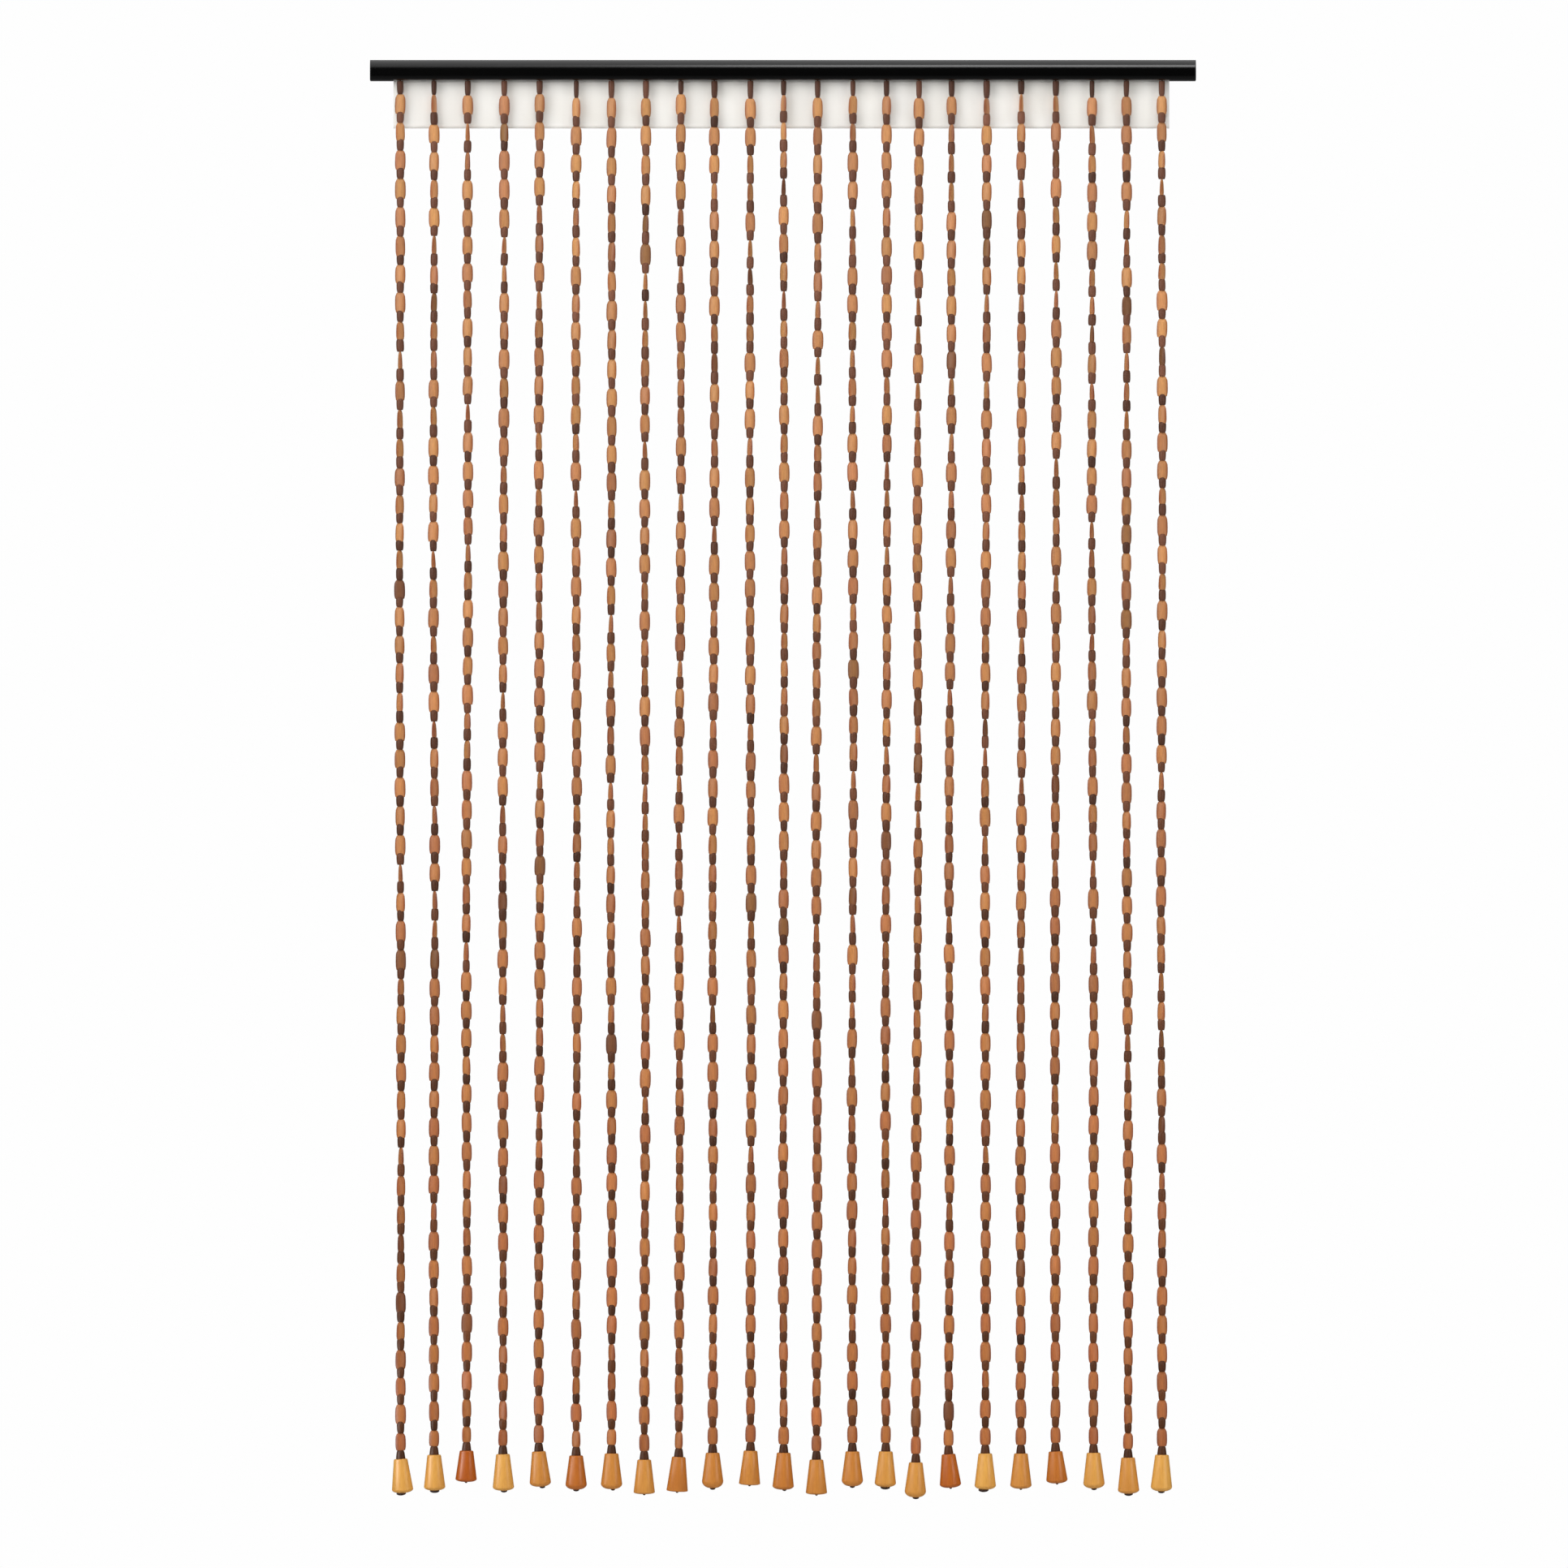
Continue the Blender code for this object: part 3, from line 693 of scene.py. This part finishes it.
def new_tree(name, sockets):
    """A Geometry Nodes tree with named inputs and one geometry output."""
    tree = bpy.data.node_groups.new(name, "GeometryNodeTree")
    for label, kind, value in sockets:
        socket = tree.interface.new_socket(label, in_out="INPUT", socket_type="NodeSocket" + kind)
        if value is not None:
            socket.default_value = value
    tree.interface.new_socket("Geometry", in_out="OUTPUT", socket_type="NodeSocketGeometry")
    return tree, add_node(tree, "NodeGroupInput"), add_node(tree, "NodeGroupOutput")


def barrel_tree():
    """A barrel of unit radius and length whose ends draw in, with a section between round and square.

    Its rings crowd towards the ends, where the sides turn in, and its thickness grows downwards.
    The mesh keeps how near each point lies to the bead's side edges, where the wood paints shade.
    """
    tree, given, result = new_tree("bead_barrel", (
        ("Sides", "Int", BEAD_SIDES), ("Rings", "Int", BEAD_RINGS),
        ("Top Share", "Float", 0.6), ("Foot Share", "Float", 0.7),
        ("Top Corner", "Float", 4.0), ("Foot Corner", "Float", 4.0),
        ("Section", "Float", 2.0), ("Flare", "Float", 0.0), ("Wedge", "Float", 0.0),
    ))

    def calculate(operation, *values):
        return add_node(tree, "ShaderNodeMath", values, operation=operation)

    line = add_node(tree, "GeometryNodeCurvePrimitiveLine", {"Start": (0, 0, 0.5), "End": (0, 0, -0.5)})
    spine = add_node(tree, "GeometryNodeResampleCurve", {"Curve": line, "Count": given.outputs["Rings"]})
    ring = add_node(tree, "GeometryNodeSplineParameter").outputs["Index"]
    last_ring = calculate("SUBTRACT", given.outputs["Rings"], 1.0)
    angle = calculate("MULTIPLY", calculate("DIVIDE", ring, last_ring), math.pi)
    level = calculate("COSINE", angle)
    height = add_node(tree, "ShaderNodeCombineXYZ", {"Z": calculate("MULTIPLY", level, 0.5)})
    spaced = add_node(tree, "GeometryNodeSetPosition", {"Geometry": spine, "Position": height})
    below = calculate("LESS_THAN", level, 0.0)
    share = add_node(tree, "ShaderNodeMix", (below, given.outputs["Top Share"], given.outputs["Foot Share"]))
    corner = add_node(tree, "ShaderNodeMix", (
        below, given.outputs["Top Corner"], given.outputs["Foot Corner"],
    ))
    turn_in = calculate("POWER", calculate("ABSOLUTE", level), corner)
    radius = calculate("MULTIPLY_ADD", calculate("SUBTRACT", share, 1.0), turn_in, 1.0)

    circle = add_node(tree, "GeometryNodeCurvePrimitiveCircle", {
        "Resolution": given.outputs["Sides"], "Radius": 1.0,
    })
    place = add_node(tree, "GeometryNodeInputPosition")
    across = add_node(tree, "ShaderNodeSeparateXYZ", (place,))
    powers = [calculate("POWER", calculate("ABSOLUTE", across.outputs[axis]), given.outputs["Section"])
              for axis in "XY"]
    swell = calculate("POWER", calculate("ADD", *powers), calculate("DIVIDE", -1.0, given.outputs["Section"]))
    squared = add_node(tree, "ShaderNodeVectorMath", (place, swell), operation="SCALE")
    section = add_node(tree, "GeometryNodeSetPosition", {"Geometry": circle, "Position": squared})
    skin = add_node(tree, "GeometryNodeCurveToMesh", {
        "Curve": spaced, "Profile Curve": section, "Scale": radius, "Fill Caps": True,
    })

    point = add_node(tree, "ShaderNodeSeparateXYZ", (place,))
    depth = calculate("MULTIPLY", point.outputs["Z"], -2.0)
    wider = calculate("MULTIPLY", depth, given.outputs["Flare"])
    thicker = calculate("MULTIPLY_ADD", depth, given.outputs["Wedge"], wider)
    shift = add_node(tree, "ShaderNodeCombineXYZ", {
        "X": calculate("MULTIPLY", wider, point.outputs["X"]),
        "Y": calculate("MULTIPLY", thicker, point.outputs["Y"]),
    })
    wedged = add_node(tree, "GeometryNodeSetPosition", {"Geometry": skin, "Offset": shift})
    # How near each point lies to the bead's side edges, for the wood's painted shade there
    marked = add_node(tree, "GeometryNodeStoreNamedAttribute", {
        "Geometry": wedged,
        "Name": "edge",
        "Value": calculate("POWER", calculate("ABSOLUTE", point.outputs["X"]), EDGE_SHADE_POWER),
    }, data_type="FLOAT", domain="POINT")
    fill_sockets(tree, result, {"Geometry": marked})
    return tree


def threading_tree(name, barrel, forms):
    """Puts a barrel of the right form on every point, then makes them one real mesh."""
    tree, given, result = new_tree(name, (
        ("Geometry", "Geometry", None), ("Sides", "Int", BEAD_SIDES), ("Rings", "Int", BEAD_RINGS),
        ("Material", "Material", None),
    ))
    read = {field: add_node(tree, "GeometryNodeInputNamedAttribute", {"Name": field}, data_type=kind)
            for field, kind in (("form", "INT"), ("size", "FLOAT_VECTOR"), ("spin", "FLOAT_VECTOR"))}
    rotation = add_node(tree, "FunctionNodeEulerToRotation", (read["spin"],))
    join = add_node(tree, "GeometryNodeJoinGeometry")
    for number, form in enumerate(forms):
        bead = add_node(tree, "GeometryNodeGroup", node_tree=barrel)
        fill_sockets(tree, bead, {
            "Sides": given.outputs["Sides"],
            "Rings": given.outputs["Rings"],
            "Top Share": form.top,
            "Foot Share": form.foot,
            "Top Corner": form.top_corner,
            "Foot Corner": form.foot_corner,
            "Section": form.section,
            "Flare": form.flare,
            "Wedge": form.wedge,
        })
        chosen = add_node(tree, "FunctionNodeCompare", (read["form"], number),
                          data_type="INT", operation="EQUAL")
        placed = add_node(tree, "GeometryNodeInstanceOnPoints", {
            "Points": given.outputs["Geometry"], "Selection": chosen, "Instance": bead,
            "Rotation": rotation, "Scale": read["size"],
        })
        fill_sockets(tree, join, (placed,))
    real = add_node(tree, "GeometryNodeRealizeInstances", (join,))
    finished = add_node(tree, "GeometryNodeSetMaterial", {
        "Geometry": real, "Material": given.outputs["Material"],
    })
    fill_sockets(tree, result, {"Geometry": finished})
    return tree


def grow(name, seed_mesh, tree, values):
    """Runs a Geometry Nodes tree on a mesh with the given inputs and returns the plain mesh it makes."""
    maker = bpy.data.objects.new(name + "_maker", seed_mesh)
    bpy.context.scene.collection.objects.link(maker)
    modifier = maker.modifiers.new("nodes", "NODES")
    modifier.node_group = tree
    for item in tree.interface.items_tree:
        if item.in_out == "INPUT" and item.name in values:
            modifier[item.identifier] = values[item.name]
    maker.update_tag()
    depsgraph = bpy.context.evaluated_depsgraph_get()
    mesh = bpy.data.meshes.new_from_object(maker.evaluated_get(depsgraph), depsgraph=depsgraph)
    maker.modifiers.remove(modifier)
    bpy.data.objects.remove(maker)
    mesh.name = name
    return smooth(mesh)


def add_beads(word, indices, trees, woods):
    """All light beads and all dark beads of one half of the curtain."""
    light, dark = [], []
    for index in indices:
        for into, beads in zip((light, dark), place_beads(index)):
            into.extend(beads)
    for colour, beads, sides, rings, slot in (
        ("light", light, BEAD_SIDES, BEAD_RINGS, "bead_wood"),
        ("dark", dark, DARK_SIDES, DARK_RINGS, "dark_bead_wood"),
    ):
        name = f"{colour}_beads_{word}"
        mesh = grow(name, points_mesh(name + "_points", beads), trees[colour],
                    {"Sides": sides, "Rings": rings, "Material": woods[colour]})
        add_piece(name, mesh, woods[colour], slot, "strings_" + word)


def string_path(index):
    """The middle line of a cord: down its string, then along the cone's bore to the knot."""
    row = STRINGS[index]
    sway = draw_string(index)[0]
    drop = row.drop * MM
    steps = math.ceil(drop / CORD_STEP)
    path = [Vector((root_x(index), STRING_DEPTH, CARRIER_FOOT + CARRIER_THICKNESS / 2))]
    for step in range(steps + 1):
        share = step / steps
        path.append(Vector((string_x(index, share, sway), STRING_DEPTH, RAIL_FOOT - drop * share)))
    lean = math.radians(row.lean)
    axis = Vector((math.sin(lean), 0.0, -math.cos(lean)))
    path.append(path[-1] + axis * (row.cone * MM + GAP + knot_height(row) / 2))
    return path


def add_tube(shape, path, radius, sides):
    """A closed tube along a nearly upright path."""
    rings = []
    for point in path:
        rings.append([shape.verts.new(point + Vector((radius * math.cos(a), radius * math.sin(a), 0.0)))
                      for a in (math.tau * side / sides for side in range(sides))])
    bridge(shape, rings, closed=False)
    shape.faces.new(rings[0])
    shape.faces.new(rings[-1][::-1])


def add_turned(shape, profile, sides, place):
    """Adds the rings of a turned form, from its radii and heights, set in place by a matrix."""
    rings = []
    for radius, z in profile:
        rings.append([shape.verts.new(place @ Vector((radius * math.cos(a), radius * math.sin(a), z)))
                      for a in (math.tau * side / sides for side in range(sides))])
    return rings


def bridge(shape, rings, closed):
    """Joins rings one after another with faces, and the last to the first where the form is closed."""
    pairs = list(zip(rings, rings[1:])) + ([(rings[-1], rings[0])] if closed else [])
    for upper, lower in pairs:
        for side in range(len(upper)):
            after = (side + 1) % len(upper)
            shape.faces.new((upper[side], lower[side], lower[after], upper[after]))


def knot_height(row):
    """How far a knot stands out below the cone: a wide one is a flatter coil."""
    return KNOT_LEAST_HEIGHT + KNOT_SLENDERNESS * row.knot * MM


def knot_profile(row):
    """Cord pulled tight into a flat ball, from just inside the cone's base down to the cord's end."""
    pressed = math.cos(KNOT_SEAT)
    points = []
    for step in range(KNOT_STEPS + 1):
        angle = KNOT_SEAT + (KNOT_END - KNOT_SEAT) * step / KNOT_STEPS
        depth = (pressed - math.cos(angle)) / (pressed - math.cos(KNOT_END))
        z = KNOT_SINK - (knot_height(row) + GAP + KNOT_SINK) * depth
        points.append((row.knot / 2 * MM * math.sin(angle), z))
    return points


def hang_matrix(index):
    """Where a cone hangs: its top at the foot of its string, tilted by its lean."""
    row = STRINGS[index]
    top = Vector((root_x(index) + row.foot * MM, STRING_DEPTH, RAIL_FOOT - row.drop * MM))
    return Matrix.Translation(top) @ Matrix.Rotation(-math.radians(row.lean), 4, "Y")


def add_cords(word, indices, cord):
    """The cord of each string, with its knot under the cone."""
    shape = bmesh.new()
    for index in indices:
        add_tube(shape, string_path(index), CORD_RADIUS, CORD_SIDES)
        row = STRINGS[index]
        slip = Matrix.Translation((row.slip * MM, 0.0, -row.cone * MM))
        rings = add_turned(shape, knot_profile(row), KNOT_SIDES, hang_matrix(index) @ slip)
        bridge(shape, rings, closed=False)
        shape.faces.new(rings[0])
        shape.faces.new(rings[-1][::-1])
    name = "cords_" + word
    add_piece(name, to_mesh(shape, name), cord, "cord", "strings_" + word)


def dome(length, depth, steps):
    """A cone's rounded base, from its widest ring down to the small flat around its bore."""
    angles = [math.pi / 2 * step / steps for step in range(steps + 1)]
    across = WEIGHT_FOOT_RADIUS - WEIGHT_FLAT_RADIUS
    return [(WEIGHT_FLAT_RADIUS + across * math.cos(a), depth - length - depth * math.sin(a)) for a in angles]


def cone_profile(row):
    """A cone's section: a rounded top edge, a straight flank, the domed base, and the bore."""
    length = row.cone * MM
    flank = length - row.base * MM - WEIGHT_NECK
    slope = math.degrees(math.atan2(WEIGHT_FOOT_RADIUS - WEIGHT_NECK_RADIUS, flank))
    edge_centre = (WEIGHT_NECK_RADIUS - TOP_EDGE_ROUND, -TOP_EDGE_ROUND)
    edge = arc(edge_centre, TOP_EDGE_ROUND, 90, slope, TOP_EDGE_STEPS)
    bore = [(BORE_RADIUS, -length), (BORE_RADIUS, -length / 2)]
    return [(BORE_RADIUS, 0.0)] + edge + dome(length, row.base * MM, DOME_STEPS) + bore


def add_cone(index, wood):
    """A turned cone with a bore, and its own stain and grain."""
    row = STRINGS[index]
    shape = bmesh.new()
    rings = add_turned(shape, cone_profile(row), CONE_SIDES, hang_matrix(index))
    bridge(shape, rings, closed=True)
    name = f"turned_cone_{index + 1:02d}"
    mesh = to_mesh(shape, name)
    for field, value in (("tone", row.stain), ("grain", CONE_GRAIN_STEP * index)):
        values = mesh.attributes.new(field, "FLOAT", "POINT")
        values.data.foreach_set("value", [value] * len(mesh.vertices))
    add_piece(name, mesh, wood, "cone_wood", f"end_weight_{index + 1:02d}")


# Camera, lights and floor

CAMERA_DISTANCE = 20.0
SENSOR = 36.0
VIEW_WIDTH = 2.2807
VIEW_MIDDLE = (0.0015, -1.0372)

# What shiny surfaces mirror all round, as elevations in degrees and levels of grey, and how bright
# it is; and the even light on dull surfaces
MIRRORED_SKY = ((-90, 0.1), (-20, 0.08), (-8, 0.01), (27, 0.01), (34, 0.3), (57, 0.68), (90, 0.84))
MIRRORED_STRENGTH = 1.6
AMBIENT_STRENGTH = 0.34

# Half the floor's width and depth, with its height left as it is, and its middle
FLOOR_HALF_SIZE = (1.9, 1.3, 1.0)
FLOOR_MIDDLE = (0.0, -0.5, -2.25)


def add_camera():
    """A long lens straight in front, which frames the curtain as in the photo."""
    lens = bpy.data.cameras.new("camera")
    lens.sensor_width = SENSOR
    lens.lens = SENSOR * CAMERA_DISTANCE / VIEW_WIDTH
    lens.clip_end = 200.0
    camera = bpy.data.objects.new("camera", lens)
    camera.location = (VIEW_MIDDLE[0], -CAMERA_DISTANCE, VIEW_MIDDLE[1])
    camera.rotation_euler = (math.pi / 2, 0.0, 0.0)
    bpy.context.scene.collection.objects.link(camera)
    bpy.context.scene.camera = camera


def add_softbox(name, location, target, width, height, watts, seen_by):
    """A rectangular light aimed at a point, seen by dull surfaces, by shiny ones, or by both."""
    light = bpy.data.lights.new(name, "AREA")
    light.shape = "RECTANGLE"
    light.size = width
    light.size_y = height
    light.energy = watts
    box = bpy.data.objects.new(name, light)
    box.location = location
    box.rotation_euler = (Vector(target) - Vector(location)).to_track_quat("-Z", "Y").to_euler()
    box.visible_diffuse = "dull" in seen_by
    box.visible_glossy = "shiny" in seen_by
    box.visible_camera = False
    bpy.context.scene.collection.objects.link(box)


def light_studio():
    """White surroundings for the camera; overhead light, a dark band in front and a grey floor in gloss."""
    world = bpy.data.worlds.new("studio")
    world.use_nodes = True
    bpy.context.scene.world = world
    tree = world.node_tree
    tree.nodes.clear()
    direction = add_node(tree, "ShaderNodeTexCoord").outputs["Generated"]
    rise = add_node(tree, "ShaderNodeSeparateXYZ", (direction,)).outputs["Z"]
    share = add_node(tree, "ShaderNodeMapRange", (rise, -1.0, 1.0, 0.0, 1.0))
    ramp = add_node(tree, "ShaderNodeValToRGB", (share,))
    stops = ramp.color_ramp.elements
    stops.remove(stops[1])
    for number, (elevation, level) in enumerate(MIRRORED_SKY):
        at = (math.sin(math.radians(elevation)) + 1) / 2
        stop = stops[0] if number == 0 else stops.new(at)
        stop.position = at
        stop.color = (level, level, level, 1.0)
    mirrored = add_node(tree, "ShaderNodeBackground", {"Color": ramp, "Strength": MIRRORED_STRENGTH})
    around = add_node(tree, "ShaderNodeBackground", {"Color": linear("ffffff"), "Strength": AMBIENT_STRENGTH})
    seen = add_node(tree, "ShaderNodeBackground", {"Color": linear("fefefe"), "Strength": 1.0})
    ray = add_node(tree, "ShaderNodeLightPath")
    by_gloss = add_node(tree, "ShaderNodeMixShader", (ray.outputs["Is Glossy Ray"], around, mirrored))
    mix = add_node(tree, "ShaderNodeMixShader", (ray.outputs["Is Camera Ray"], by_gloss, seen))
    add_node(tree, "ShaderNodeOutputWorld", {"Surface": mix})

    add_softbox("key_from_the_left", (-4.2, -3.6, 0.6), (0.0, 0.0, -1.0), 4.4, 3.8, 178, "dull shiny")
    add_softbox("near_left_cones", (-0.80, -0.16, -1.98), (-0.55, 0.0, -2.04), 0.16, 0.2, 0.9, "shiny")
    add_softbox("low_from_the_right", (3.5, -2.6, -1.2), (0.6, 0.0, -2.0), 1.2, 1.2, 38, "dull shiny")
    add_softbox("fill_in_front", (-1.0, -9.0, 3.4), (0.0, 0.0, -1.0), 4.0, 4.5, 200, "dull")
    add_softbox("high_in_front", (0.65, -2.32, 2.49), (0.65, 0.0, 0.0), 1.6, 1.3, 30, "dull shiny")
    add_softbox("fill_behind", (0.5, 7.0, -0.4), (0.0, 0.0, -1.0), 4.0, 3.0, 130, "dull")


def add_floor(paint):
    """A plain pale floor under the curtain, outside the photo's view; nothing shiny mirrors it."""
    floor = bmesh.new()
    bmesh.ops.create_grid(floor, x_segments=1, y_segments=1, size=1.0)
    bmesh.ops.scale(floor, vec=FLOOR_HALF_SIZE, verts=floor.verts)
    bmesh.ops.translate(floor, vec=FLOOR_MIDDLE, verts=floor.verts)
    mesh = bpy.data.meshes.new("floor")
    floor.to_mesh(mesh)
    floor.free()
    mesh.materials.append(paint)
    ground = bpy.data.objects.new("floor", mesh)
    ground.visible_glossy = False
    bpy.context.scene.collection.objects.link(ground)


def build():
    """Dresses the whole curtain."""
    paint = black_powder_coat()
    abs_plastic = moulded_black_abs()
    pvc = extruded_black_pvc()
    beech = waxed_beech()
    cord = braided_brown_cord()
    # Each bead wood: top and foot colours, lighter at the top and darker and warmer at the foot as painted
    # light from above; the colour its side edges are multiplied by as painted shade, white for none; its
    # sheen.
    woods = {
        "light": stained_bead_wood("tan_stained_lime", ("d2995e", "bb7f56"), ("b77034", "ae6333"),
                                   "bf9a86", 0.45),
        "dark": stained_bead_wood("dark_stained_lime", ("724937", "674231"), ("5c3111", "532c0e"),
                                  "ffffff", 0.3),
    }
    barrel = barrel_tree()
    trees = {
        "light": threading_tree("thread_light_beads", barrel, LIGHT_FORMS),
        "dark": threading_tree("thread_dark_beads", barrel, DARK_FORMS),
    }
    join_x = (root_x(LAST_STRING_ON_THE_LEFT) + root_x(LAST_STRING_ON_THE_LEFT + 1)) / 2
    halves = (
        ("left", range(LAST_STRING_ON_THE_LEFT + 1), -CARRIER_HALF_LENGTH, join_x - GAP / 2),
        ("right", range(LAST_STRING_ON_THE_LEFT + 1, len(STRINGS)), join_x + GAP / 2, CARRIER_HALF_LENGTH),
    )
    add_rail(paint)
    for side in (-1, 1):
        add_end_cap(side, abs_plastic)
    for word, indices, left, right in halves:
        add_carrier(word, left, right, pvc)
        add_beads(word, indices, trees, woods)
        add_cords(word, indices, cord)
    for index in range(len(STRINGS)):
        add_cone(index, beech)
    add_tape(woven_cotton_tape())
    add_floor(pale_floor_paint())
    add_camera()
    light_studio()
    bpy.context.scene.view_settings.view_transform = "Standard"


build()
